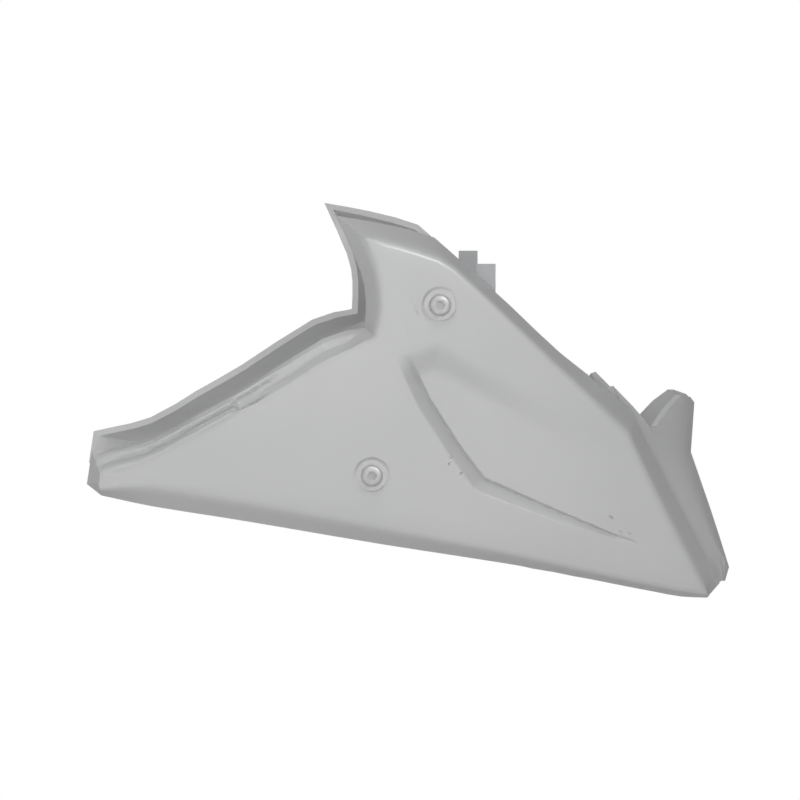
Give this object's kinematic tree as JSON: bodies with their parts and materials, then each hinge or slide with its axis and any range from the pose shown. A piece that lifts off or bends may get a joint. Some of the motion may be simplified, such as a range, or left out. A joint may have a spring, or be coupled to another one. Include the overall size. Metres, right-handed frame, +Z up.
{
  "type": "motorcycle belly pan",
  "caption": "Belly pan for a naked motorcycle: moulded side panels joined by a nose piece, hung from the engine bolts on steel brackets.",
  "frame": {"origin": "middle of the upper engine bolt's axis, on the machine's middle plane", "axes": "+X forward, +Y to the rider's left along the engine bolts, +Z up, as mounted"},
  "size_m": [0.3117, 0.2648, 0.1859],
  "materials": {
    "moulded_plastic": "satin",
    "bracket_steel": "satin",
    "panel_screw": "satin",
    "panel_washer": "satin",
    "rubber": "matte",
    "zinc_steel": "satin"
  },
  "bodies": {
    "root": {"right_panel": "moulded_plastic", "left_panel": "moulded_plastic", "nose_panel": "moulded_plastic", "right_upper_bracket": "bracket_steel", "right_lower_bracket": "bracket_steel", "left_upper_bracket": "bracket_steel", "left_lower_bracket": "bracket_steel", "right_upper_screw": "panel_screw", "right_lower_screw": "panel_screw", "left_upper_screw": "panel_screw", "left_lower_screw": "panel_screw", "right_upper_washer": "panel_washer", "right_lower_washer": "panel_washer", "left_upper_washer": "panel_washer", "left_lower_washer": "panel_washer", "right_upper_rubber_washer": "rubber", "right_lower_rubber_washer": "rubber", "left_upper_rubber_washer": "rubber", "left_lower_rubber_washer": "rubber", "right_upper_nut": "zinc_steel", "right_lower_nut": "zinc_steel", "left_upper_nut": "zinc_steel", "left_lower_nut": "zinc_steel", "right_upper_nose_screw": "zinc_steel", "right_lower_nose_screw": "zinc_steel", "left_upper_nose_screw": "zinc_steel", "left_lower_nose_screw": "zinc_steel", "right_upper_nose_washer": "zinc_steel", "right_lower_nose_washer": "zinc_steel", "left_upper_nose_washer": "zinc_steel", "left_lower_nose_washer": "zinc_steel"}
  },
  "joints": []
}
